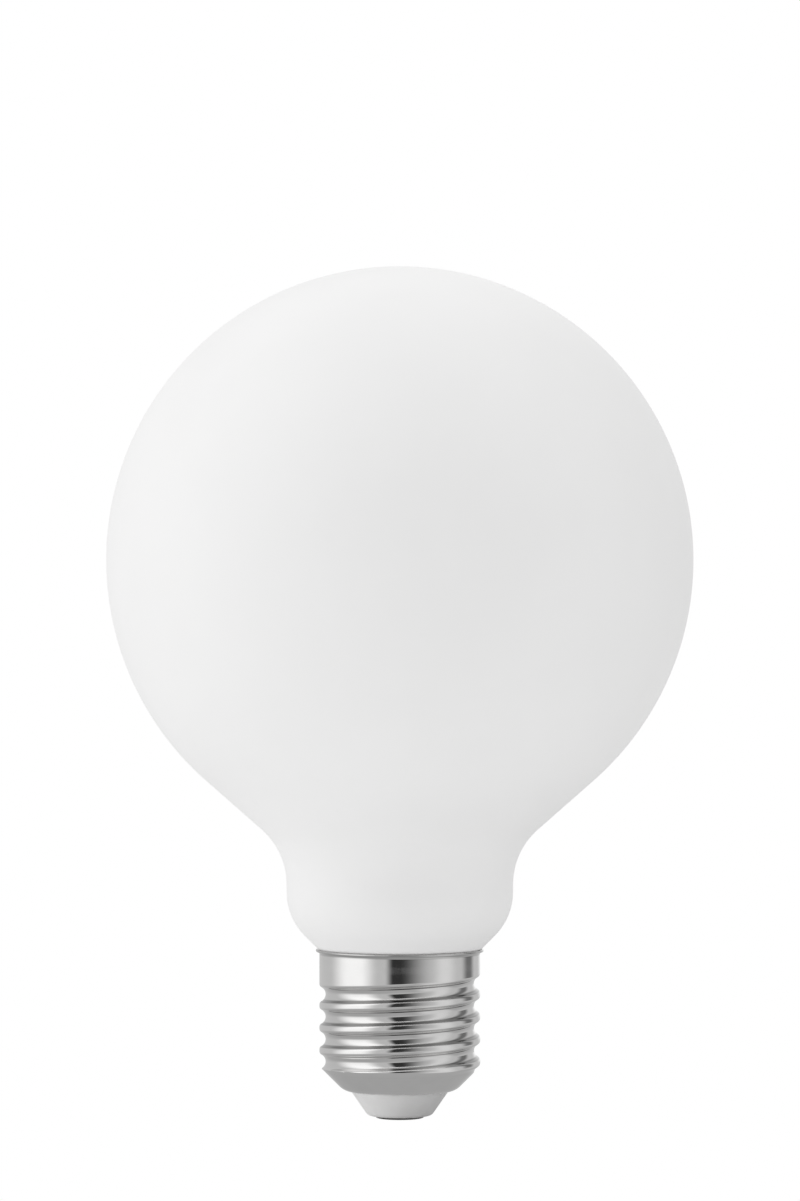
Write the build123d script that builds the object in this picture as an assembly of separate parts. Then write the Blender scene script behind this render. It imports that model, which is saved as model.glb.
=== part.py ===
from build123d import *
import math
import os

# Opal globe light bulb with an E27 screw cap.
# Millimetres, +Z up along the bulb's axis from the cap to the globe.
# The origin is the centre of the centre contact's lower face.

# Glass globe
globe_d = 95.0
throat_angle = 48.6         # degrees below the equator where the globe runs out into the throat
throat_r = 11.8             # hollow between the throat and the neck
neck_d = 36.7
neck_length = 10.7          # from the throat's corner to the shoulder's corner
shoulder_r = 9.9            # round between the neck and the shoulder
tube_length = 11.0          # glass inside the cap, below the rim
tube_end_r = 3.0            # rounded end of that glass
tube_bend_r = 1.5           # hollow between the shoulder and that glass
rim_clearance = 0.05        # between the glass and the rim it sits in
tube_clearance = 0.3        # between the glass and the inside of the thread

# Screw shell, drawn from sheet
sheet = 0.25
cap_length = 27.37          # contact face to the top of the rim's bead
rim_d = 27.2                # outside of the rim's bead, which the skirt and the crests follow
rim_angle = 45.0            # slope of the flared rim, and of the glass in it
rim_bend_r = 0.3            # hollow between the skirt and the flared rim
rim_flare = 0.575           # how far the bead stands out from the skirt and the crests
bead_r = 0.22               # round bead on the edge of the flared rim
thread_pitch = 3.629
thread_depth = 1.0
crest_r = 0.6               # round of a crest
crest_land = 0.3            # narrow flat along a crest
skirt_length = 5.32         # top of the bead to the groove's middle where it begins to run out
thread_top_angle = 20.0     # degrees from +X to that place
run_out_turn = 0.3          # share of a turn in which the groove runs out
cone_angle = 45.0           # slope of the cone below the thread
cone_top = 8.4              # height where the cone meets the crests
lip_height = 4.36           # height of the lip's lower face
lip_r = 3.0                 # round between the cone and the lip
lip_d = 15.9                # opening in the lip

# Insulator, moulded
flange_top = 7.0            # height of its inner face
nose_d = 10.3               # its lower face, before rounding
nose_round = 1.2
nose_height = 0.4           # height of its lower face
seat_clearance = 0.05       # between the insulator and the shell around it

# Centre contact, a rivet through the insulator
head_d = 8.0
head_flat_d = 7.0           # flat that touches the holder's contact
head_edge = 0.15            # straight edge of the head
shank_d = 3.6
shank_length = 8.2          # from the head's inner face
shank_clearance = 0.05

# Drawing of the thread's groove
arc_lines = 2               # straight lines in each arc of its section
cutter_over = 0.03          # how far the cutter stands out of the surface

globe_r = globe_d / 2
neck_r = neck_d / 2
rim_r = rim_d / 2
major_r = rim_r - rim_flare
thread_top = cap_length - skirt_length
tube_r = major_r - thread_depth - sheet - tube_clearance


def radius_slope(angle):
    """Rise of a line for each millimetre of radius."""
    return math.tan(math.radians(angle))


def cone_height(radius, inset):
    """Height of the shell's cone at a radius, on the face that lies inset behind the outside."""
    drop = (major_r - radius) * radius_slope(cone_angle)
    return cone_top - drop + inset / math.cos(math.radians(cone_angle))


def rim_height(radius, inset):
    """Height of the flared rim's line at a radius, on the face that lies inset behind the outside."""
    drop = (rim_r - bead_r - radius) * radius_slope(rim_angle)
    behind = bead_r + inset - sheet
    return cap_length - bead_r - drop + behind / math.cos(math.radians(rim_angle))


def turned(outline):
    """A solid turned about the axis from an outline of radius and height."""
    return revolve(Plane.XZ * make_face(outline), Axis.Z)


def glass_globe():
    """The blown globe with its throat, neck, shoulder and the rounded tube inside the cap."""
    behind = sheet + rim_clearance
    shoulder_height = rim_height(neck_r, behind)
    throat_height = shoulder_height + neck_length
    throat = math.radians(throat_angle)
    start_r = globe_r * math.cos(throat)
    start_height = throat_height + (start_r - neck_r) / math.tan(throat)
    equator = start_height + globe_r * math.sin(throat)
    tube_end = cap_length - tube_length
    # The two rounds share the neck, so neither is larger than it leaves room for
    throat_reach = throat_r * math.tan(throat / 2)
    shoulder_reach = shoulder_r * radius_slope(rim_angle / 2)
    room = min(1, 0.98 * neck_length / (throat_reach + shoulder_reach))
    below = FilletPolyline(
        (start_r, start_height),
        (neck_r, throat_height),
        (neck_r, shoulder_height),
        (tube_r, rim_height(tube_r, behind)),
        (tube_r, tube_end),
        (0, tube_end),
        radius=(throat_r * room, shoulder_r * room, tube_bend_r, tube_end_r),
    )
    ball = ThreePointArc((0, equator + globe_r), (globe_r, equator), (start_r, start_height))
    axis = Line((0, tube_end), (0, equator + globe_r))
    return turned([ball, *below.edges(), axis])


def shell_blank(inset):
    """The drawn cup before threading, filled, as the face that lies inset behind its outside."""
    wall_r = major_r - inset
    floor = lip_height + inset
    floor_r = wall_r - (cone_height(wall_r, inset) - floor) / radius_slope(cone_angle)
    # The bead lies against the inner face and begins where the outer face runs into it
    bead = (rim_r - bead_r, cap_length - bead_r)
    chord = math.sqrt(bead_r**2 - (sheet - bead_r) ** 2)
    start_r = bead[0] + (sheet - bead_r) * math.sin(math.radians(rim_angle))
    start_r -= chord * math.cos(math.radians(rim_angle))
    flare_r = start_r if inset == 0 else rim_r
    side = FilletPolyline(
        (0, floor),
        (floor_r, floor),
        (wall_r, cone_height(wall_r, inset)),
        (wall_r, rim_height(wall_r, inset)),
        (flare_r, rim_height(flare_r, inset)),
        radius=(lip_r - inset, 0, rim_bend_r + inset),
    )
    end = side.edges()[-1] @ 1
    edge = [ThreePointArc(end, (rim_r, bead[1]), (bead[0], cap_length))] if inset == 0 else []
    brow = edge[-1] @ 1 if edge else end
    top = Line(brow, (0, brow.Y))
    axis = Line((0, floor), top @ 1)
    return turned([*side.edges(), *edge, top, axis])


def groove(inset):
    """The cutters of the groove, one for each turn and one for its run-out, for that face of the sheet."""
    half_width = (thread_pitch - crest_land) / 2
    flank = 2 * math.atan(thread_depth / half_width)
    crest = crest_r - inset
    root = half_width / math.sin(flank) - crest
    top_r = major_r - inset
    angles = [flank * line / arc_lines for line in range(arc_lines + 1)]
    crest_arc = [(top_r - crest * (1 - math.cos(a)), half_width - crest * math.sin(a)) for a in angles]
    root_arc = [(top_r - thread_depth + root * (1 - math.cos(a)), root * math.sin(a)) for a in angles]
    (edge_r, edge_z), (next_r, next_z) = crest_arc[:2]
    beyond = cutter_over / (edge_r - next_r)
    edge = (edge_r + cutter_over, edge_z + (edge_z - next_z) * beyond)
    upper = [edge, *crest_arc[1:], *reversed(root_arc[:-1])]
    lower = [(r, -z) for r, z in reversed(upper[:-1])]
    section = Plane.XZ * make_face(Polyline(*upper, *lower, close=True))

    turn = sweep(section, Helix(thread_pitch, thread_pitch, major_r), is_frenet=True)
    lowest = cone_height(major_r - thread_depth, 0) - half_width
    count = math.ceil((thread_top - lowest) / thread_pitch)
    turns = [Pos(Z=thread_top - step * thread_pitch) * turn for step in range(1, count + 1)]

    rise = run_out_turn * thread_pitch
    spread = math.atan2(thread_depth + 2 * cutter_over, rise)
    stretch = 1 / math.cos(spread)
    leaving = Helix(thread_pitch * stretch, rise * stretch, major_r, cone_angle=math.degrees(spread))
    return [*turns, Pos(Z=thread_top) * sweep(section, leaving, is_frenet=True)]


def threaded_cup(inset):
    """The filled cup with the groove in it, as the face that lies inset behind its outside."""
    cup = shell_blank(inset)
    for cutter in groove(inset):
        cup = cup - cutter
    return cup


def screw_shell():
    """The drawn sheet sleeve: beaded rim, plain skirt, rolled thread, cone and turned-in lip."""
    opening = Cylinder(lip_d / 2, 2 * cone_top)
    shell = threaded_cup(0) - threaded_cup(sheet) - opening
    return Rot(Z=thread_top_angle) * shell


def insulator():
    """The moulded plug: a flange that fills the cone, and a nose through the lip with a bore."""
    seat = sheet + seat_clearance
    below_top = Cylinder(rim_r, flange_top, align=(Align.CENTER, Align.CENTER, Align.MIN))
    flange = shell_blank(seat) & below_top
    nose_top_r = lip_d / 2 - seat_clearance
    flange_foot = lip_height + seat
    nose = turned(
        FilletPolyline(
            (0, nose_height),
            (nose_d / 2, nose_height),
            (nose_top_r, lip_height),
            (nose_top_r, flange_foot + lip_r / 2),
            (0, flange_foot + lip_r / 2),
            radius=(0, nose_round, 0, 0, 0),
            close=True,
        )
    )
    bore = Cylinder(shank_d / 2 + shank_clearance, 3 * flange_top)
    return flange + nose - bore


def centre_contact():
    """The rivet: a head with a flat middle and a rounded rim, and a shank through the insulator."""
    head_r = head_d / 2
    flat_r = head_flat_d / 2
    flat = Line((0, 0), (flat_r, 0))
    rim = TangentArc((flat_r, 0), (head_r, nose_height - head_edge), tangent=(1, 0))
    rest = Polyline(
        rim @ 1,
        (head_r, nose_height),
        (shank_d / 2, nose_height),
        (shank_d / 2, nose_height + shank_length),
        (0, nose_height + shank_length),
        (0, 0),
    )
    return turned([flat, rim, *rest.edges()])


os.makedirs("parts", exist_ok=True)
pieces = {
    "glass_globe": glass_globe(),
    "screw_shell": screw_shell(),
    "insulator": insulator(),
    "centre_contact": centre_contact(),
}
for name, piece in pieces.items():
    export_step(piece, f"parts/{name}.step")
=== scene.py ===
"""Opal globe light bulb with a screw cap: its visible pieces, their finishes and the studio.

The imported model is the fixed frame. Each piece is a surface on a grid of two parameters,
worked out with numpy in millimetres and stored in metres, with its place in its mesh.
"""

import logging
import math
from dataclasses import dataclass
from enum import Enum
from typing import Any, Union

import bpy
import numpy as np
from numpy.typing import NDArray
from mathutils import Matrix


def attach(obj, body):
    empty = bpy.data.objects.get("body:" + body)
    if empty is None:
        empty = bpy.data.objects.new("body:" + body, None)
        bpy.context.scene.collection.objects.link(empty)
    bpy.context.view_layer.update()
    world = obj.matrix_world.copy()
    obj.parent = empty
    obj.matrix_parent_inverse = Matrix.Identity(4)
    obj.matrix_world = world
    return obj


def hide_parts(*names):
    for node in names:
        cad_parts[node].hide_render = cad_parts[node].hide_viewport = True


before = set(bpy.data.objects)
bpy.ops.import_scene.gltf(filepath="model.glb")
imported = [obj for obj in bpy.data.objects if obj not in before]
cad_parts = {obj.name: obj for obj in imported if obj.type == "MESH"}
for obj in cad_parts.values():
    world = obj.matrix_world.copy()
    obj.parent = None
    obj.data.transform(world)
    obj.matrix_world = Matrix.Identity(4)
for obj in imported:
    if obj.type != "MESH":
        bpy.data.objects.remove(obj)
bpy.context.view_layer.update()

MM = 0.001
BODY = "root"

# Sizes that more than one class takes, in millimetres and degrees
THREAD_PITCH = 3.629
THREAD_TOP = 22.05
THREAD_TOP_ANGLE = 20.0
LIP_HEIGHT = 4.36
NOSE_HEIGHT = 0.4

# Slope of the cone and of the flared rim
SLOPE = math.pi / 4

# Degrees between the points of an arc, and the angle from which an edge isn't shaded smooth
ARC_STEP = 6.0
EDGE_ANGLE = 38.0
NEARLY_ZERO = 1e-9

# Sockets of the Mix node for colours, and the usual settings of noise
MIX_FIRST = 6
MIX_SECOND = 7
MIX_COLOUR = 2
NOISE_DETAIL = 3.0
NOISE_ROUGHNESS = 0.55

Array = NDArray[np.float64]
Colour = tuple[float, float, float, float]
Span = tuple[float, float]
Number = Union[int, float]

log = logging.getLogger("light_bulb")


class Slot(Enum):
    """Material slots of the record, whose names the finishes' materials share."""

    OPAL_GLASS = "opal_glass"
    PLATED_METAL = "plated_metal"
    WHITE_PLASTIC = "white_plastic"
    CONTACT_METAL = "contact_metal"


class Ends(Enum):
    """How the two ends of a turned profile are closed."""

    POLES = "on the axis"
    RING = "on each other"


# Surfaces


def rounded_path(corners: Array, radii: Array, step: float, ring: bool = False) -> Array:
    """Points along straight runs whose corners are rounded by tangent arcs.

    At a corner that turns by t, an arc of radius r begins r * tan(t / 2) before the
    corner, and its centre lies r / cos(t / 2) from the corner along the bisector.

    Args:
        corners: Corner points, one row of radius and height each.
        radii: Radius of each corner; 0 leaves it sharp.
        step: Longest distance between points on a run; an arc has a point each ARC_STEP degrees.
        ring: True if the last point runs back to the first.

    Returns:
        The points in order, one row of radius and height each.
    """
    before = np.roll(corners, 1, axis=0)
    after = np.roll(corners, -1, axis=0)
    back = (before - corners) / np.linalg.norm(before - corners, axis=1)[:, None]
    ahead = (after - corners) / np.linalg.norm(after - corners, axis=1)[:, None]
    turn = np.pi - np.arccos(np.clip((back * ahead).sum(axis=1), -1, 1))
    if not ring:
        radii = radii * np.r_[0, np.ones(len(corners) - 2), 0]
    reach = radii * np.tan(turn / 2)
    bisector = back + ahead
    bisector /= np.maximum(np.linalg.norm(bisector, axis=1), NEARLY_ZERO)[:, None]
    centres = corners + bisector * (radii / np.cos(turn / 2))[:, None]
    starts = corners + back * reach[:, None]
    parts = []
    for i in range(len(corners)):
        count = max(int(np.ceil(np.degrees(turn[i]) / ARC_STEP)), 2) + 1 if radii[i] > 0 else 1
        share = np.linspace(0, 1, count)
        left = ahead[i, 0] * back[i, 1] - ahead[i, 1] * back[i, 0]
        angle = share * turn[i] * np.sign(left if left else 1.0)
        arm = starts[i] - centres[i]
        arc = centres[i] + np.stack(
            [
                arm[0] * np.cos(angle) - arm[1] * np.sin(angle),
                arm[0] * np.sin(angle) + arm[1] * np.cos(angle),
            ],
            axis=1,
        )
        parts.append(arc if radii[i] > 0 else corners[i : i + 1])
        if ring or i + 1 < len(corners):
            follow = (i + 1) % len(corners)
            run = starts[follow] - parts[-1][-1]
            pieces = max(int(np.ceil(np.linalg.norm(run) / step)), 1)
            inner = np.linspace(0, 1, pieces + 1)[1:-1, None]
            parts.append(parts[-1][-1] + run * inner)
    return np.concatenate(parts)


def wrapped_quads(rows: int, columns: int, ring: bool) -> NDArray[np.int64]:
    """Corner numbers of the faces of a grid whose columns close on themselves.

    Args:
        rows: Number of rows, each a full turn of points.
        columns: Points in a row.
        ring: True if the last row is joined to the first as well.

    Returns:
        One row of four corner numbers for each face, facing outwards where rows run down
        the outside.
    """
    count = rows if ring else rows - 1
    i = np.arange(count)[:, None]
    j = np.arange(columns)[None, :]
    below = (i + 1) % rows
    beside = (j + 1) % columns
    corners = (
        i * columns + j,
        below * columns + j,
        below * columns + beside,
        i * columns + beside,
    )
    return np.stack(corners, axis=-1).reshape(-1, 4)


def turned_grid(radius: Array, height: Array, columns: int) -> Array:
    """Points of a surface round the axis: x = r cos a, y = r sin a, z = h.

    Args:
        radius: Radius of each row, or of each row and column.
        height: Height of each row.
        columns: Number of equal steps in the turn.

    Returns:
        Points in millimetres, rows first, half a step away from the axes.
    """
    angle = column_angles(columns)
    spread = np.broadcast_to(radius if radius.ndim == 2 else radius[:, None], (len(height), columns))
    levels = np.broadcast_to(height[:, None], spread.shape)
    points = np.stack([spread * np.cos(angle), spread * np.sin(angle), levels], axis=-1)
    return points.reshape(-1, 3)


def column_angles(columns: int) -> Array:
    """Angles of the columns, from half a step on."""
    return (np.arange(columns) + 0.5) * (2 * np.pi / columns)


def turned_faces(profile: Array, columns: int, ends: Ends) -> tuple[Array, list[list[int]]]:
    """The closed surface that a profile of radius and height makes round the axis.

    Args:
        profile: Points from the top down the outside; with poles, the ends are on the axis.
        columns: Number of equal steps in the turn.
        ends: How the profile's ends are closed.

    Returns:
        The points in millimetres and the faces.
    """
    if ends is Ends.RING:
        points = turned_grid(profile[:, 0], profile[:, 1], columns)
        return points, wrapped_quads(len(profile), columns, True).tolist()
    inner = profile[1:-1]
    points = turned_grid(inner[:, 0], inner[:, 1], columns)
    poles = np.array([[0, 0, profile[0, 1]], [0, 0, profile[-1, 1]]])
    top = len(points)
    j = np.arange(columns)
    beside = (j + 1) % columns
    last = (len(inner) - 1) * columns
    cap = np.stack([np.full(columns, top), j, beside], axis=1)
    foot = np.stack([np.full(columns, top + 1), last + beside, last + j], axis=1)
    faces = wrapped_quads(len(inner), columns, False).tolist() + cap.tolist() + foot.tolist()
    return np.concatenate([points, poles]), faces


def smooth_lower(a: Array, b: Array, blend: float) -> Array:
    """The lower of two values, with a parabola over the stretch where they differ by less than blend."""
    near = np.maximum(blend - np.abs(a - b), 0) / blend
    return np.minimum(a, b) - near**2 * blend / 4


def smooth_upper(a: Array, b: Array, blend: float) -> Array:
    """The upper of two values, rounded in the same way."""
    return -smooth_lower(-a, -b, blend)


def make_piece(name: str, node: str, points: Array, faces: list[list[int]]) -> bpy.types.Object:
    """A piece that stands for a node of the frame.

    Args:
        name: The piece's name.
        node: The node that it stands for.
        points: Its points in millimetres.
        faces: Its faces, outwards.

    Returns:
        The piece, riding on the one body of the bulb.
    """
    mesh = bpy.data.meshes.new(name)
    mesh.from_pydata((points * MM).tolist(), [], faces)
    mesh.polygons.foreach_set("use_smooth", np.ones(len(mesh.polygons), dtype=bool))
    mesh.set_sharp_from_angle(angle=math.radians(EDGE_ANGLE))
    mesh.update()
    piece = bpy.data.objects.new(name, mesh)
    bpy.context.scene.collection.objects.link(piece)
    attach(piece, BODY)
    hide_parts(node)
    log.info("%s: %d faces", name, len(mesh.polygons))
    return piece


# Shader maths


class Signal:
    """A shader value: an output socket that takes part in Python arithmetic."""

    def __init__(self, graph: "Graph", socket: bpy.types.NodeSocket) -> None:
        """Keeps the socket and the graph that new nodes go into."""
        self.graph = graph
        self.socket = socket

    def __add__(self, other: "Signal | Number") -> "Signal":
        """Sum of two values."""
        return self.graph.math("ADD", self, other)

    __radd__ = __add__

    def __sub__(self, other: "Signal | Number") -> "Signal":
        """Difference of two values."""
        return self.graph.math("SUBTRACT", self, other)

    def __rsub__(self, other: Number) -> "Signal":
        """A number less this value."""
        return self.graph.math("SUBTRACT", other, self)

    def __mul__(self, other: "Signal | Number") -> "Signal":
        """Product of two values."""
        return self.graph.math("MULTIPLY", self, other)

    __rmul__ = __mul__

    def __truediv__(self, other: "Signal | Number") -> "Signal":
        """Quotient of two values."""
        return self.graph.math("DIVIDE", self, other)

    def __neg__(self) -> "Signal":
        """This value with the other sign."""
        return self.graph.math("MULTIPLY", self, -1)

    def __abs__(self) -> "Signal":
        """This value without its sign."""
        return self.graph.math("ABSOLUTE", self)


Input = Union[Signal, bpy.types.NodeSocket, Number, tuple]


class Graph:
    """A node tree that shader maths is written into."""

    def __init__(self, tree: bpy.types.NodeTree) -> None:
        """Empties the tree and keeps it."""
        self.tree = tree
        tree.nodes.clear()

    def add(
        self,
        kind: str,
        settings: dict[str, Any] | None = None,
        sockets: dict[str | int, Input] | None = None,
    ) -> bpy.types.Node:
        """Any node.

        Args:
            kind: The node's type.
            settings: Its settings, which are set first.
            sockets: Values or links of its input sockets, by name or number.

        Returns:
            The node.
        """
        node = self.tree.nodes.new(kind)
        for name, value in (settings or {}).items():
            setattr(node, name, value)
        for key, value in (sockets or {}).items():
            if isinstance(value, Signal):
                self.tree.links.new(value.socket, node.inputs[key])
            elif isinstance(value, bpy.types.NodeSocket):
                self.tree.links.new(value, node.inputs[key])
            else:
                node.inputs[key].default_value = value
        return node

    def math(self, operation: str, *values: Signal | Number) -> Signal:
        """A Math node on these values."""
        node = self.add("ShaderNodeMath", {"operation": operation}, dict(enumerate(values)))
        return Signal(self, node.outputs[0])

    def ease(self, value: Signal, low: Number, high: Number) -> Signal:
        """0 below low, 1 above high and a smooth step between them."""
        sockets = {"Value": value, "From Min": low, "From Max": high, "To Min": 0.0, "To Max": 1.0}
        node = self.add("ShaderNodeMapRange", {"interpolation_type": "SMOOTHSTEP"}, sockets)
        return Signal(self, node.outputs[0])

    def ease_mm(self, length: Signal, span: Span) -> Signal:
        """A smooth step of a length in metres over a span in millimetres."""
        return self.ease(length, span[0] * MM, span[1] * MM)

    def place(self) -> bpy.types.NodeSocket:
        """Object coordinates, in metres in the frame."""
        return self.add("ShaderNodeTexCoord").outputs["Object"]

    def stretched(self, scale: tuple[float, float, float]) -> bpy.types.NodeSocket:
        """Object coordinates with a scale along each axis."""
        node = self.add("ShaderNodeMapping", None, {"Vector": self.place(), "Scale": scale})
        return node.outputs["Vector"]

    def parts(self, vector: bpy.types.NodeSocket) -> tuple[Signal, Signal, Signal]:
        """The three numbers of a vector."""
        node = self.add("ShaderNodeSeparateXYZ", None, {0: vector})
        return Signal(self, node.outputs[0]), Signal(self, node.outputs[1]), Signal(self, node.outputs[2])

    def axis_distance(self) -> Signal:
        """Distance from the bulb's axis, in metres."""
        x, y, _ = self.parts(self.place())
        return self.math("SQRT", x * x + y * y)

    def noise(
        self, vector: bpy.types.NodeSocket, scale: float, detail: float = NOISE_DETAIL
    ) -> Signal:
        """Noise between 0 and 1 at a scale in cells for each unit of the vector."""
        sockets = {"Vector": vector, "Scale": scale, "Detail": detail, "Roughness": NOISE_ROUGHNESS}
        return Signal(self, self.add("ShaderNodeTexNoise", None, sockets).outputs[0])

    def blend(self, factor: Signal, first: Colour, second: Colour) -> bpy.types.NodeSocket:
        """A colour between two colours."""
        sockets = {0: factor, MIX_FIRST: first, MIX_SECOND: second}
        return self.add("ShaderNodeMix", {"data_type": "RGBA"}, sockets).outputs[MIX_COLOUR]

    def bump(self, height: Signal, distance: float, strength: float) -> bpy.types.NodeSocket:
        """A normal raised by a height, where 1 is a distance in millimetres."""
        sockets = {"Height": height, "Distance": distance * MM, "Strength": strength}
        return self.add("ShaderNodeBump", None, sockets).outputs[0]

    def glow(self, strength: Signal) -> bpy.types.Node:
        """White light of this strength from a surface."""
        return self.add("ShaderNodeEmission", None, {"Color": grey(1.0), "Strength": strength})

    def matt(self, level: float) -> bpy.types.Node:
        """A matt grey."""
        return self.add("ShaderNodeBsdfDiffuse", None, {"Color": grey(level)})

    def clear_where(self, share: Signal, shader: bpy.types.Node) -> bpy.types.Node:
        """A shader that is seen through by a share."""
        clear = self.add("ShaderNodeBsdfTransparent")
        return self.add("ShaderNodeMixShader", None, {0: share, 1: shader.outputs[0], 2: clear.outputs[0]})

    def output(self, shader: bpy.types.Node) -> None:
        """The material's surface."""
        self.add("ShaderNodeOutputMaterial", None, {"Surface": shader.outputs[0]})

    def surface(self, sockets: dict[str | int, Input]) -> None:
        """A Principled shader on the output."""
        self.output(self.add("ShaderNodeBsdfPrincipled", None, sockets))


def grey(level: float, warmth: float = 0.0) -> Colour:
    """A grey of this level, with red raised and blue lowered by the warmth."""
    return (level + warmth, level, level - warmth, 1.0)


def new_material(name: str) -> tuple[bpy.types.Material, Graph]:
    """A material and the graph of its nodes."""
    material = bpy.data.materials.new(name)
    material.use_nodes = True
    return material, Graph(material.node_tree)


# Finishes, with scales in cells for each metre and depths and places in millimetres


@dataclass(frozen=True)
class OpalGlass:
    """Opal glass: milky white all through, satin outside, with a faint cloudiness."""

    clear: float = 0.9
    milky: float = 0.914
    warmth: float = 0.001
    roughness: float = 0.5
    refraction: float = 1.5
    cloud_scale: float = 38.0
    cloud_edges: Span = (0.3, 0.7)
    cloud_roughness: float = 0.03
    film_scale: float = 900.0
    film_roughness: float = 0.05
    film_height: float = 0.05
    wave_scale: float = 70.0
    wave_depth: float = 0.2
    wave_strength: float = 0.12

    def material(self) -> bpy.types.Material:
        """The finish as a material."""
        material, graph = new_material("opal_glass")
        cloud = graph.ease(graph.noise(graph.place(), self.cloud_scale), *self.cloud_edges)
        film = graph.noise(graph.place(), self.film_scale)
        wave = graph.noise(graph.place(), self.wave_scale, detail=1.0)
        height = wave + self.film_height * film
        white = graph.blend(cloud, grey(self.clear, self.warmth), grey(self.milky, self.warmth))
        graph.surface(
            {
                "Base Color": white,
                "Roughness": self.roughness + self.film_roughness * film + self.cloud_roughness * cloud,
                "IOR": self.refraction,
                "Normal": graph.bump(height, self.wave_depth, self.wave_strength),
            }
        )
        return material


@dataclass(frozen=True)
class PlatedMetal:
    """Bright plating on drawn sheet with a rubbed ring on the skirt; dark reflections are painted along the
    lower flanks, and shade is painted deeper in the groove and on the flared rim.
    """

    bright: float = 0.76
    dull: float = 0.69
    # Level that the painted dark reflection along the groove's lower flanks is drawn at
    flank_reflection_level: float = 0.3
    warmth: float = 0.006
    roughness: float = 0.03
    # Painted shade: the plating is drawn darker inside these radii, deeper in the groove and on the cone
    # and lip
    groove_radii: Span = (12.0, 13.0)
    groove_shade: float = 0.35
    # Where the painted dark reflection lies: its offset below the thread's top, its width across the flank,
    # and the radii and heights it keeps to
    flank_reflection_offset: float = -1.06
    flank_reflection_width: Span = (0.03, 0.1)
    flank_reflection_radii: Span = (12.85, 13.0)
    flank_reflection_foot: Span = (9.0, 9.6)
    # Painted shade: the flared rim and bead are drawn darker, from the bend up
    rim_shade_foot: Span = (26.4, 26.65)
    rim_shade: float = 0.26
    ring_height: float = 24.75
    ring_edges: Span = (0.3, 0.9)
    ring_roughness: float = 0.08
    mark_scales: tuple[float, float, float] = (60.0, 60.0, 4200.0)
    mark_dulling: float = 0.25
    mark_roughness: float = 0.02
    mark_depth: float = 0.01
    mark_strength: float = 0.02
    smear_scale: float = 240.0
    smear_edges: Span = (0.35, 0.75)
    smear_dulling: float = 0.3
    smear_roughness: float = 0.04

    def flank_reflection_mask(self, graph: Graph) -> Signal:
        """Mask of the painted dark reflection: 1 along the middle of the groove's lower flank and 0 beside
        it and on the crests.
        """
        x, y, z = graph.parts(graph.place())
        turn = graph.math("ARCTAN2", y, x) / (2 * math.pi) - THREAD_TOP_ANGLE / 360
        climbed = (z - (THREAD_TOP + self.flank_reflection_offset) * MM) / (THREAD_PITCH * MM) - turn
        away = abs(graph.math("FRACT", climbed + 0.5) - 0.5)
        in_groove = 1 - graph.ease_mm(graph.axis_distance(), self.flank_reflection_radii)
        on_thread = in_groove * graph.ease_mm(z, self.flank_reflection_foot)
        return on_thread * (1 - graph.ease(away, *self.flank_reflection_width))

    def material(self) -> bpy.types.Material:
        """The finish as a material."""
        material, graph = new_material("plated_metal")
        marks = graph.noise(graph.stretched(self.mark_scales), 1.0)
        smears = graph.ease(graph.noise(graph.place(), self.smear_scale), *self.smear_edges)
        # Painted shade deeper in the groove and on the cone and lip, added to the real random smears and
        # marks
        depth = 1 - graph.ease_mm(graph.axis_distance(), self.groove_radii)
        dulling_and_groove_shade = self.groove_shade * depth + self.smear_dulling * smears + self.mark_dulling * marks
        level = self.bright - (self.bright - self.dull) * graph.math("MINIMUM", dulling_and_groove_shade, 1.0)
        # Painted dark reflection along the middle of the groove's lower flanks
        level = level - (level - self.flank_reflection_level) * self.flank_reflection_mask(graph)
        height = graph.parts(graph.place())[2]
        # Painted shade on the flared rim and bead
        level = level * (1 - self.rim_shade * graph.ease_mm(height, self.rim_shade_foot))
        ring = 1 - graph.ease_mm(abs(height - self.ring_height * MM), self.ring_edges)
        roughness = self.roughness + self.smear_roughness * smears + self.mark_roughness * marks
        graph.surface(
            {
                "Base Color": graph.blend(level, grey(0.0), grey(1.0, self.warmth)),
                "Metallic": 1.0,
                "Roughness": roughness + self.ring_roughness * ring,
                "Normal": graph.bump(marks, self.mark_depth, self.mark_strength),
            }
        )
        return material


@dataclass(frozen=True)
class WhitePlastic:
    """Moulded white insulator with a fine even grain."""

    pale: float = 0.8
    pale_warmth: float = 0.002
    shade: float = 0.77
    shade_warmth: float = 0.004
    roughness: float = 0.38
    refraction: float = 1.5
    mottle_scale: float = 420.0
    mottle_edges: Span = (0.3, 0.7)
    grain_scale: float = 5200.0
    grain_roughness: float = 0.08
    grain_depth: float = 0.03
    grain_strength: float = 0.3

    def material(self) -> bpy.types.Material:
        """The finish as a material."""
        material, graph = new_material("white_plastic")
        mottle = graph.ease(graph.noise(graph.place(), self.mottle_scale), *self.mottle_edges)
        grain = graph.noise(graph.place(), self.grain_scale, detail=2.0)
        pale, shade = grey(self.pale, self.pale_warmth), grey(self.shade, self.shade_warmth)
        graph.surface(
            {
                "Base Color": graph.blend(mottle, pale, shade),
                "Roughness": self.roughness + self.grain_roughness * grain,
                "IOR": self.refraction,
                "Normal": graph.bump(grain, self.grain_depth, self.grain_strength),
            }
        )
        return material


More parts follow.
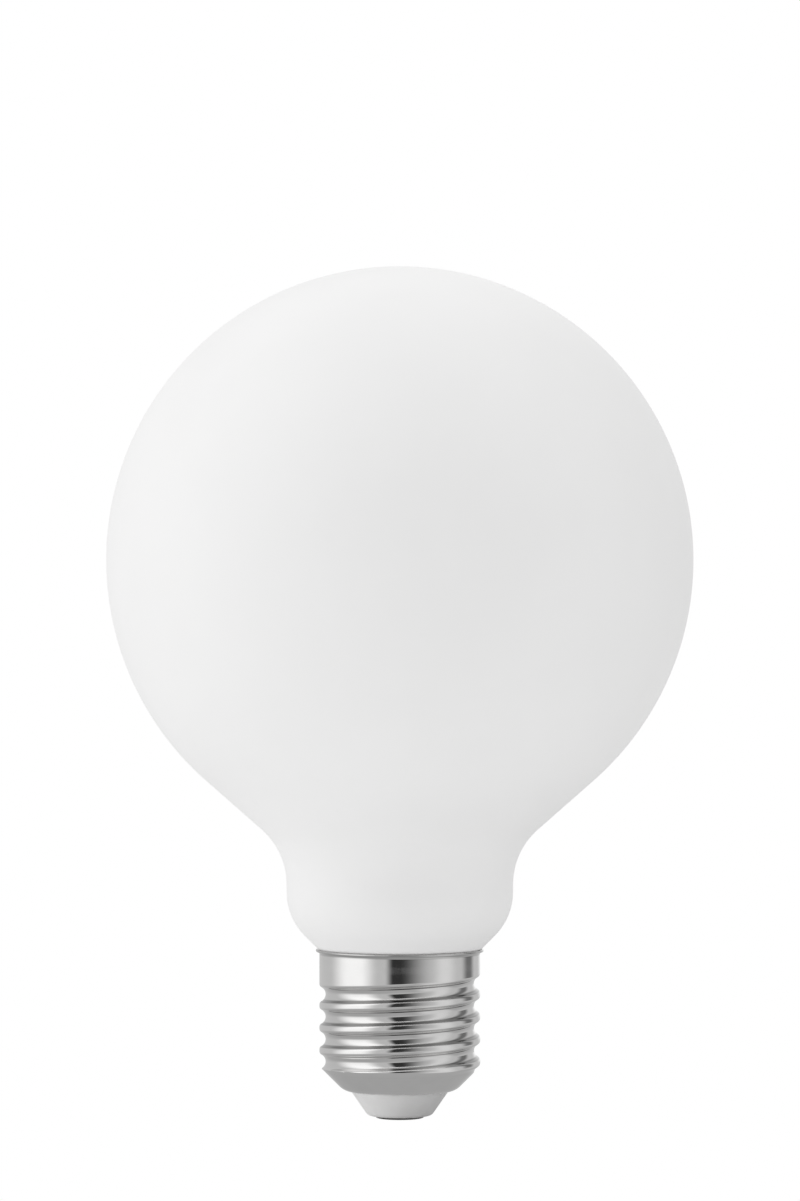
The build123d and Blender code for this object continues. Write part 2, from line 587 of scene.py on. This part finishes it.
@dataclass(frozen=True)
class ContactMetal:
    """Plated rivet with fine turning marks, worn in the middle, with shade painted on its rim where it
    meets the nose.
    """

    bright: float = 0.52
    dull: float = 0.36
    # Painted shade: the level that the head's rim is darkened to, where it turns up to the nose
    edge: float = 0.1
    head_rim_shade_radii: Span = (3.3, 3.6)
    warmth: float = 0.01
    roughness: float = 0.24
    rings_per_mm: float = 7.0
    ring_tarnish: float = 0.3
    ring_depth: float = 0.01
    ring_strength: float = 0.5
    speck_scale: float = 1500.0
    speck_tarnish: float = 0.5
    speck_roughness: float = 0.12
    speck_height: float = 0.6
    worn_radii: Span = (1.1, 3.08)
    worn_roughness: float = 0.06
    unworn_tarnish: float = 0.25

    def material(self) -> bpy.types.Material:
        """The finish as a material."""
        material, graph = new_material("contact_metal")
        distance = graph.axis_distance()
        rings = graph.math("SINE", distance * (2 * math.pi * self.rings_per_mm / MM)) * 0.5 + 0.5
        specks = graph.noise(graph.place(), self.speck_scale)
        wear = 1 - graph.ease_mm(distance, self.worn_radii)
        tarnish = self.speck_tarnish * specks + self.ring_tarnish * rings + self.unworn_tarnish * (1 - wear)
        level = self.bright - (self.bright - self.dull) * graph.math("MINIMUM", tarnish, 1.0)
        # Painted shade on the head's rim, where it meets the nose
        level = level - (level - self.edge) * graph.ease_mm(distance, self.head_rim_shade_radii)
        height = rings + self.speck_height * specks
        graph.surface(
            {
                "Base Color": graph.blend(level, grey(0.0), grey(1.0, self.warmth)),
                "Metallic": 1.0,
                "Roughness": self.roughness + self.speck_roughness * specks + self.worn_roughness * wear,
                "Normal": graph.bump(height, self.ring_depth, self.ring_strength),
            }
        )
        return material


# Pieces


@dataclass
class GlassGlobe:
    """The blown globe with its throat, neck, shoulder and the tube inside the cap."""

    globe_r: float = 47.49
    equator: float = 90.348
    throat_angle: float = 48.6
    throat_round: float = 11.8
    neck_r: float = 18.35
    throat_height: float = 43.202
    shoulder_height: float = 32.502
    shoulder_round: float = 9.9
    tube_r: float = 11.475
    tube_end: float = 16.37
    tube_end_round: float = 3.0
    tube_bend_round: float = 1.5
    columns: int = 288
    ball_rows: int = 150
    run_step: float = 1.0

    def profile(self) -> Array:
        """Ball from the top pole to the throat, then rounded runs down to the tube's end."""
        throat = math.radians(self.throat_angle)
        turn = np.linspace(0, np.pi / 2 + throat, self.ball_rows)
        ball = np.stack([np.sin(turn), np.cos(turn)], axis=1) * self.globe_r + [0, self.equator]
        ball[0, 0] = 0
        slope = self.neck_r - self.tube_r
        corners = np.array(
            [
                ball[-1],
                [self.neck_r, self.throat_height],
                [self.neck_r, self.shoulder_height],
                [self.tube_r, self.shoulder_height - slope],
                [self.tube_r, self.tube_end],
                [0, self.tube_end],
            ]
        )
        rounds = [0, self.throat_round, self.shoulder_round, self.tube_bend_round, self.tube_end_round, 0]
        below = rounded_path(corners, np.array(rounds), self.run_step)
        return np.concatenate([ball, below[1:]])

    def build(self) -> bpy.types.Object:
        """The globe turned round the axis."""
        points, faces = turned_faces(self.profile(), self.columns, Ends.POLES)
        return make_piece("opal_globe", "glass_globe", points, faces)

    def dress(self, piece: bpy.types.Object) -> None:
        """Opal glass all over."""
        piece.data.materials.append(OpalGlass().material())


@dataclass
class ScrewShell:
    """The drawn sleeve: beaded rim, plain skirt, rolled thread, cone and turned-in lip."""

    sheet: float = 0.25
    cap_length: float = 27.37
    rim_r: float = 13.6
    bead_r: float = 0.22
    major_r: float = 13.025
    pitch: float = THREAD_PITCH
    depth: float = 1.0
    crest_round: float = 0.6
    crest_land: float = 0.3
    thread_top: float = THREAD_TOP
    thread_top_angle: float = THREAD_TOP_ANGLE
    run_out_turn: float = 0.3
    run_out_lift: float = 1.06
    turns: int = 6
    cone_top: float = 8.4
    lip_height: float = LIP_HEIGHT
    lip_round: float = 3.0
    lip_r: float = 7.95
    edge_blend: float = 0.14
    rim_blend: float = 0.12
    columns: int = 256
    row_step: float = 0.09
    inner_step: float = 0.24
    bead_rows: int = 24
    lip_samples: int = 4000

    def groove(self, offset: Array, inset: float) -> Array:
        """Depth of the thread's groove across its width.

        A hollow arc of radius root runs from the middle, and a crest arc tangent to it
        runs out level at half the groove's width.

        Args:
            offset: Height above or below the groove's middle.
            inset: How far the face lies behind the outside of the sheet.

        Returns:
            The depth below the crests at each offset.
        """
        half = (self.pitch - self.crest_land) / 2
        flank = 2 * math.atan(self.depth / half)
        crest = self.crest_round - inset
        root = half / math.sin(flank) - crest
        away = np.abs(offset)
        hollow = self.depth - root + np.sqrt(np.maximum(root**2 - away**2, 0))
        to_edge = np.maximum(half - away, 0)
        rounding = crest - np.sqrt(np.maximum(crest**2 - to_edge**2, 0))
        return np.where(away < root * math.sin(flank), hollow, rounding)

    def thread(self, height: Array, angle: Array, inset: float) -> Array:
        """Radius of the threaded wall.

        The groove's middle climbs by one pitch a turn up to thread_top, and beyond that
        it is lifted evenly out of the wall within run_out_turn.

        Args:
            height: Heights of the rows, as a column.
            angle: Angles of the columns, as a row.
            inset: How far the face lies behind the outside of the sheet.

        Returns:
            The radius at each row and column.
        """
        turn = np.mod(angle / (2 * np.pi) - self.thread_top_angle / 360, 1)
        deepest = np.zeros(np.broadcast_shapes(height.shape, angle.shape))
        for k in range(-self.turns, 1):
            lift = self.run_out_lift * turn / self.run_out_turn if k == 0 else 0
            middle = self.thread_top + self.pitch * (turn + k)
            deepest = np.maximum(deepest, self.groove(height - middle, inset) - lift)
        return self.major_r - inset - deepest

    def cone(self, height: Array, inset: float) -> Array:
        """Radius of the cone, and of the round between it and the lip."""
        behind = inset / math.cos(SLOPE)
        line = self.major_r - (self.cone_top + behind - height)
        round_r = self.lip_round - inset
        floor = self.lip_height + inset
        foot = self.major_r - (self.cone_top + behind - floor)
        centre_r = foot - round_r * math.tan(SLOPE / 2)
        centre_z = floor + round_r
        arc = centre_r + np.sqrt(np.maximum(round_r**2 - (centre_z - height) ** 2, 0))
        return np.where(height < centre_z - round_r * math.cos(SLOPE), arc, line)

    def wall(self, height: Array, angle: Array, inset: float) -> Array:
        """Radius of one face of the sheet: thread cut by the cone below and flared out above."""
        behind = (self.bead_r + inset - self.sheet) / math.cos(SLOPE)
        flare = self.rim_r - (self.cap_length + behind - height)
        threaded = self.thread(height, angle, inset)
        coned = smooth_lower(threaded, self.cone(height, inset), self.edge_blend)
        return smooth_upper(coned, flare, self.rim_blend)

    def lip_level(self, inset: float) -> float:
        """Height of the face at the lip's opening."""
        levels = np.linspace(self.lip_height, self.cone_top, self.lip_samples)
        return float(np.interp(self.lip_r, self.cone(levels, inset), levels))

    def build(self) -> bpy.types.Object:
        """Outside from bead to lip, inside back to the bead, and the round of the bead."""
        bead_r, bead_z = self.rim_r - self.bead_r, self.cap_length - self.bead_r
        leaves = -SLOPE - math.acos((self.sheet - self.bead_r) / self.bead_r)
        around = np.linspace(math.pi - SLOPE, leaves, self.bead_rows)
        edge_r = bead_r + self.bead_r * np.cos(around)
        edge_z = bead_z + self.bead_r * np.sin(around)
        out_top, out_low = float(edge_z[-1]), self.lip_level(0)
        in_top, in_low = float(edge_z[0]), self.lip_level(self.sheet)
        outer = np.linspace(out_top, out_low, int((out_top - out_low) / self.row_step))
        inner = np.linspace(in_low, in_top, int((in_top - in_low) / self.inner_step))
        angle = column_angles(self.columns)[None, :]
        outside = self.wall(outer[:, None], angle, 0)
        inside = self.wall(inner[:, None], angle, self.sheet)
        bead = np.repeat(edge_r[1:-1, None], self.columns, axis=1)
        radius = np.concatenate([outside, inside, bead])
        height = np.concatenate([outer, inner, edge_z[1:-1]])
        points = turned_grid(radius, height, self.columns)
        faces = wrapped_quads(len(height), self.columns, True).tolist()
        return make_piece("threaded_shell", "screw_shell", points, faces)

    def dress(self, piece: bpy.types.Object) -> None:
        """Bright plating all over."""
        piece.data.materials.append(PlatedMetal().material())


@dataclass
class Insulator:
    """The moulded plug: a flange that fills the cone, and a nose through the lip with a bore."""

    bore_r: float = 1.85
    nose_height: float = NOSE_HEIGHT
    nose_r: float = 5.15
    nose_round: float = 1.2
    nose_top_r: float = 7.9
    lip_height: float = LIP_HEIGHT
    flange_foot: float = 4.665
    flange_turn: float = 4.725
    flange_turn_r: float = 8.926
    flange_round: float = 2.6
    flange_r: float = 11.2
    flange_top: float = 7.0
    edge_round: float = 0.08
    lip_edge_round: float = 0.15
    columns: int = 192
    run_step: float = 0.5

    def profile(self) -> Array:
        """Ring of rounded runs: down the flange and the nose, in to the bore and up it."""
        corners = np.array(
            [
                [self.flange_r, self.flange_top],
                [self.flange_turn_r, self.flange_turn],
                [self.nose_top_r, self.flange_foot],
                [self.nose_top_r, self.lip_height],
                [self.nose_r, self.nose_height],
                [self.bore_r, self.nose_height],
                [self.bore_r, self.flange_top],
            ]
        )
        edge = self.edge_round
        rounds = [edge, self.flange_round, 0, self.lip_edge_round, self.nose_round, edge, edge]
        return rounded_path(corners, np.array(rounds), self.run_step, ring=True)

    def build(self) -> bpy.types.Object:
        """The plug turned round the axis."""
        points, faces = turned_faces(self.profile(), self.columns, Ends.RING)
        return make_piece("white_insulator", "insulator", points, faces)

    def dress(self, piece: bpy.types.Object) -> None:
        """White plastic all over."""
        piece.data.materials.append(WhitePlastic().material())


@dataclass
class CentreContact:
    """The rivet: a head with a flat middle and a rounded rim, and a shank through the insulator."""

    head_r: float = 4.0
    flat_r: float = 3.5
    head_height: float = NOSE_HEIGHT
    head_edge: float = 0.15
    shank_r: float = 1.8
    shank_round: float = 0.15
    head_round: float = 0.06
    top: float = 8.6
    columns: int = 144
    rim_rows: int = 16
    flat_rows: int = 4
    run_step: float = 0.6

    def profile(self) -> Array:
        """Shank from the top, head, and the arc from the head's edge down to the flat."""
        rise = self.head_height - self.head_edge
        width = self.head_r - self.flat_r
        dome_r = (width**2 + rise**2) / (2 * rise)
        reach = width * np.linspace(1, 0, self.rim_rows)
        rim = np.stack([self.flat_r + reach, dome_r - np.sqrt(dome_r**2 - reach**2)], axis=1)
        corners = np.array(
            [
                [0, self.top],
                [self.shank_r, self.top],
                [self.shank_r, self.head_height],
                [self.head_r, self.head_height],
                rim[0],
            ]
        )
        rounds = np.array([0, self.shank_round, 0, self.head_round, 0])
        upper = rounded_path(corners, rounds, self.run_step)
        inwards = np.linspace(self.flat_r, 0, self.flat_rows + 1)[1:]
        flat = np.stack([inwards, np.zeros(self.flat_rows)], axis=1)
        return np.concatenate([upper, rim[1:], flat])

    def build(self) -> bpy.types.Object:
        """The rivet turned round the axis."""
        points, faces = turned_faces(self.profile(), self.columns, Ends.POLES)
        return make_piece("rivet_contact", "centre_contact", points, faces)

    def dress(self, piece: bpy.types.Object) -> None:
        """Rivet metal all over."""
        piece.data.materials.append(ContactMetal().material())


# Studio


@dataclass(frozen=True)
class SoftPanel:
    """A stretch of the studio's wall, between two azimuths with soft edges.

    Azimuths are degrees from the camera's side, positive towards +X.
    """

    starts: float
    full_from: float
    full_to: float
    ends: float
    level: float

    def share(self, graph: Graph, azimuth: Signal) -> Signal:
        """0 outside the panel, 1 on it and a smooth step across its edges."""
        rise = graph.ease(azimuth, self.starts, self.full_from)
        return rise * (1 - graph.ease(azimuth, self.full_to, self.ends))


@dataclass
class Studio:
    """White all round, a pale floor, soft light for matt surfaces and a tent with panels for metal.

    Levels are strengths of light, where 1 is white. Spans are sines of angles above the horizon, or
    below it for the ground and the apron.
    """

    # Light on matt surfaces, and what it gains towards each side
    light: float = 0.99
    light_right: float = -0.13
    light_up: float = 0.14
    light_front: float = -0.222
    light_front_up: float = -0.54
    light_back: float = -0.19
    overhead: float = 0.25
    overhead_span: Span = (0.6, 0.95)

    # Tent that metal mirrors
    wall: float = 0.62
    left_panel: SoftPanel = SoftPanel(-118, -78, -58, -30, 0.57)
    left_lift: float = 0.12
    left_lift_span: Span = (0.0, 0.5)
    right_panel: SoftPanel = SoftPanel(45, 64, 69, 92, 0.2)
    camera_gap: SoftPanel = SoftPanel(-22, -9, 0, 52, 0.94)
    side_gap: SoftPanel = SoftPanel(96, 113, 119, 134, 0.7)
    gap_span: Span = (-0.14, -0.09)
    back_opening: SoftPanel = SoftPanel(146, 168, 190, 200, 1.0)
    opening_span: Span = (-0.12, -0.04)
    ground: float = 0.46
    ground_span: Span = (0.08, 0.52)
    right_apron: SoftPanel = SoftPanel(22, 50, 80, 104, 0.32)
    apron_span: Span = (0.65, 0.9)
    wall_radius: float = 900.0
    wall_height: float = 1570.0
    ground_radius: float = 118.0
    ground_drop: float = 39.0
    ground_hole: float = 0.1
    cap_middle: float = 15.0

    # Floor and card
    floor_drop: float = 40.0
    floor_radius: float = 110.0
    floor_colour: float = 0.95
    floor_fill: float = 0.15
    card_drop: float = 6.0
    card_radius: float = 20.0
    card_aside: float = 13.0
    card_colour: float = 0.25
    columns: int = 96

    def shown(self, graph: Graph) -> Signal:
        """1 for light that shows the background: to the camera, off metal and through glass."""
        path = graph.add("ShaderNodeLightPath")
        straight = Signal(graph, path.outputs["Is Camera Ray"])
        mirrored = Signal(graph, path.outputs["Is Glossy Ray"])
        through = Signal(graph, path.outputs["Is Transmission Ray"])
        return graph.math("MAXIMUM", graph.math("MAXIMUM", straight, mirrored), through)

    def build_world(self) -> None:
        """White where the background shows, and a soft gradient for the light on matt surfaces."""
        world = bpy.data.worlds.new("studio")
        world.use_nodes = True
        bpy.context.scene.world = world
        graph = Graph(world.node_tree)
        x, y, z = graph.parts(graph.add("ShaderNodeTexCoord").outputs["Generated"])
        front = graph.math("MAXIMUM", -y, 0.0)
        light = self.light + self.light_right * x + self.light_up * z
        light = light + front * (self.light_front + self.light_front_up * z)
        light = light + self.light_back * graph.math("MAXIMUM", y, 0.0)
        light = light + self.overhead * graph.ease(z, *self.overhead_span)
        shown = self.shown(graph)
        strength = light * (1 - shown) + shown
        background = graph.add("ShaderNodeBackground", None, {"Color": grey(1.0), "Strength": strength})
        graph.add("ShaderNodeOutputWorld", None, {"Surface": background.outputs[0]})

    def staged(self, name: str, points: Array, faces: list[list[int]]) -> bpy.types.Object:
        """A mesh of the studio, from points in millimetres."""
        mesh = bpy.data.meshes.new(name)
        mesh.from_pydata((points * MM).tolist(), [], faces)
        stage = bpy.data.objects.new(name, mesh)
        bpy.context.scene.collection.objects.link(stage)
        return stage

    def disc(self, name: str, radius: float, height: float, aside: float = 0.0) -> bpy.types.Object:
        """A level disc of the studio, in millimetres."""
        turn = np.linspace(0, 2 * np.pi, self.columns, endpoint=False)
        rim = np.stack([np.cos(turn), np.sin(turn)], axis=1) * radius
        points = np.column_stack([rim + (aside, 0), np.full(len(rim), height)])
        return self.staged(name, points, [list(range(len(rim)))])

    def panels(self, graph: Graph, azimuth: Signal, z: Signal) -> Signal:
        """Level of the tent in a direction: a wall with panels and gaps above a grey ground."""
        walls = self.wall + self.right_panel.level * self.right_panel.share(graph, azimuth)
        left = self.left_panel.level + self.left_lift * graph.ease(z, *self.left_lift_span)
        walls = walls + left * self.left_panel.share(graph, azimuth)
        upright = graph.ease(z, *self.gap_span)
        for gap in (self.camera_gap, self.side_gap):
            walls = walls * (1 - gap.level * upright * gap.share(graph, azimuth))
        below = graph.ease(-z, *self.ground_span)
        far = 1 - graph.ease(-z, *self.apron_span)
        ground = self.ground + self.right_apron.level * far * self.right_apron.share(graph, azimuth)
        return walls * (1 - below) + ground * below

    def build_tent(self) -> None:
        """The ground and wall that metal mirrors, open above and behind, where it shows white."""
        radius = np.array([self.wall_radius, self.wall_radius, self.ground_radius, self.ground_hole])
        height = np.array([self.wall_height, self.cap_middle, -self.ground_drop, -self.ground_drop])
        faces = wrapped_quads(len(height), self.columns, False).tolist()
        tent = self.staged("tent", turned_grid(radius, height, self.columns), faces)
        tent.visible_camera = False
        tent.visible_diffuse = False
        tent.visible_transmission = False
        tent.visible_shadow = False
        material, graph = new_material("tent")
        x, y, z = graph.parts(graph.place())
        up = z - self.cap_middle * MM
        rise = up / graph.math("SQRT", x * x + y * y + up * up)
        azimuth = graph.math("ARCTAN2", x, -y) * (180 / math.pi)
        opening = self.back_opening.level * self.back_opening.share(graph, azimuth)
        opening = opening * graph.ease(rise, *self.opening_span)
        graph.output(graph.clear_where(opening, graph.glow(self.panels(graph, azimuth, rise))))
        tent.data.materials.append(material)

    def build_floor(self) -> None:
        """A pale floor that is filled up where the background shows, and clear from underneath there."""
        floor = self.disc("floor", self.floor_radius, -self.floor_drop)
        material, graph = new_material("floor")
        shown = self.shown(graph)
        pale, fill = graph.matt(self.floor_colour), graph.glow(self.floor_fill * shown)
        both = graph.add("ShaderNodeAddShader", None, {0: pale.outputs[0], 1: fill.outputs[0]})
        under = Signal(graph, graph.add("ShaderNodeNewGeometry").outputs["Backfacing"]) * shown
        graph.output(graph.clear_where(under, both))
        floor.data.materials.append(material)

    def build_card(self) -> None:
        """A grey card under the cap that keeps light from the nose, unseen by camera and metal."""
        card = self.disc("card", self.card_radius, -self.card_drop, self.card_aside)
        card.visible_camera = False
        card.visible_glossy = False
        material, graph = new_material("card")
        graph.output(graph.matt(self.card_colour))
        card.data.materials.append(material)

    def build(self) -> None:
        """World, tent, floor and card, with colours shown as they are."""
        bpy.context.scene.view_settings.view_transform = "Standard"
        self.build_world()
        self.build_tent()
        self.build_floor()
        self.build_card()


@dataclass
class PhotoCamera:
    """A level camera in front of the bulb, at the photograph's distance and height."""

    distance: float = 800.0
    height: float = 83.8
    aside: float = 0.03
    image_rows: int = 1201
    rows_per_mm: float = 6.173
    sensor: float = 24.0
    near_clip: float = 10.0

    def build(self) -> None:
        """The camera, whose lens shows as many millimetres at the axis as the image has."""
        data = bpy.data.cameras.new("camera")
        data.sensor_fit = "VERTICAL"
        data.sensor_height = self.sensor
        data.lens = self.sensor * self.distance / (self.image_rows / self.rows_per_mm)
        data.clip_start = self.near_clip * MM
        camera = bpy.data.objects.new("camera", data)
        camera.location = (self.aside * MM, -self.distance * MM, self.height * MM)
        camera.rotation_euler = (math.pi / 2, 0, 0)
        bpy.context.scene.collection.objects.link(camera)
        bpy.context.scene.camera = camera


def main() -> None:
    """Builds and dresses each piece, then the studio and the camera."""
    logging.basicConfig(level=logging.INFO, format="%(name)s: %(message)s")
    for assembly in (GlassGlobe(), ScrewShell(), Insulator(), CentreContact()):
        assembly.dress(assembly.build())
    Studio().build()
    PhotoCamera().build()


if __name__ == "__main__":
    main()
